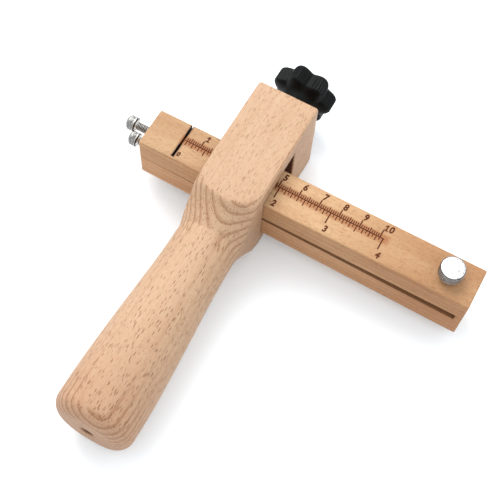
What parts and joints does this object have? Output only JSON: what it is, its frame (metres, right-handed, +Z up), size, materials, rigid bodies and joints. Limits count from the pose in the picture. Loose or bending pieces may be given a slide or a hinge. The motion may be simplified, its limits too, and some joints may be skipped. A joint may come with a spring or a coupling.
{
  "type": "strap cutter",
  "caption": "Hand strap cutter: turned beech handle, sliding two-rail ruler bar with a blade in its end, star-knob clamp and thickness thumbscrew.",
  "frame": {"origin": "on the flat base of the head, straight under the middle of the crossbar and on the turning axis of the handle", "axes": "+Z up out of the ruler face, +Y along the handle from the grip towards the clamp knob, +X along the crossbar away from the blade"},
  "size_m": [0.175, 0.1949, 0.045],
  "materials": {
    "handle_beech": "oiled, fine sanded, small dark flecks along the grain",
    "rail_beech": "oiled, planed, with a burnt ruler scale on the upper rail",
    "zinc_steel": "bright zinc plate",
    "nickel_plate": "bright nickel plate, knurled",
    "blade_steel": "ground and oiled",
    "brass": "turned",
    "black_plastic": "satin with fine ribs on the lobes"
  },
  "bodies": {
    "handle": {"handle": "handle_beech", "clamp_insert": "brass"},
    "clamp_pad": {"clamp_pad": "brass"},
    "clamp_knob": {"clamp_stud": "zinc_steel", "star_knob": "black_plastic"},
    "crossbar": {"lower_rail": "rail_beech", "lower_screw_insert": "brass", "thumbscrew_insert": "brass"},
    "upper_rail": {"upper_rail": "rail_beech", "upper_screw_insert": "brass"},
    "thumbscrew": {"thumbscrew": "nickel_plate"},
    "upper_blade_screw": {"upper_blade_screw": "zinc_steel"},
    "lower_blade_screw": {"lower_blade_screw": "zinc_steel"},
    "blade": {"blade": "blade_steel"}
  },
  "joints": [
    {"name": "bar_slide", "type": "slide", "parent": "handle", "child": "crossbar", "axis": [1, 0, 0], "range_m": [-0.078, 0.0145]},
    {"name": "clamp_travel", "type": "slide", "parent": "handle", "child": "clamp_pad", "axis": [0, 1, 0], "range_m": [0, 0.0045]},
    {"name": "knob_turn", "type": "hinge", "parent": "clamp_pad", "child": "clamp_knob", "pos_m": [0, 0.0432, 0.023], "axis": [0, 1, 0], "range_deg": [0, 1080]},
    {"name": "rail_open", "type": "hinge", "parent": "crossbar", "child": "upper_rail", "pos_m": [0.1119, 0, 0.02375], "axis": [0, 1, 0], "range_deg": [0, 0.88]},
    {"name": "thumbscrew_turn", "type": "hinge", "parent": "upper_rail", "child": "thumbscrew", "pos_m": [0.1001, 0, 0.037], "axis": [0, 0, 1], "range_deg": [0, 90]},
    {"name": "upper_blade_screw_turn", "type": "hinge", "parent": "upper_rail", "child": "upper_blade_screw", "pos_m": [-0.0569, 0, 0.0289], "axis": [-1, 0, 0], "range_deg": [0, 720]},
    {"name": "lower_blade_screw_turn", "type": "hinge", "parent": "crossbar", "child": "lower_blade_screw", "pos_m": [-0.0569, 0, 0.0154], "axis": [-1, 0, 0], "range_deg": [0, 720]},
    {"name": "blade_slide", "type": "slide", "parent": "crossbar", "child": "blade", "axis": [0, 0, 1], "range_m": [0, 0.027]}
  ],
  "couplings": [
    {"joint": "clamp_travel", "follows": "knob_turn", "m_per_rad": 0.00019894},
    {"joint": "rail_open", "follows": "thumbscrew_turn", "ratio": 0.0094415}
  ]
}
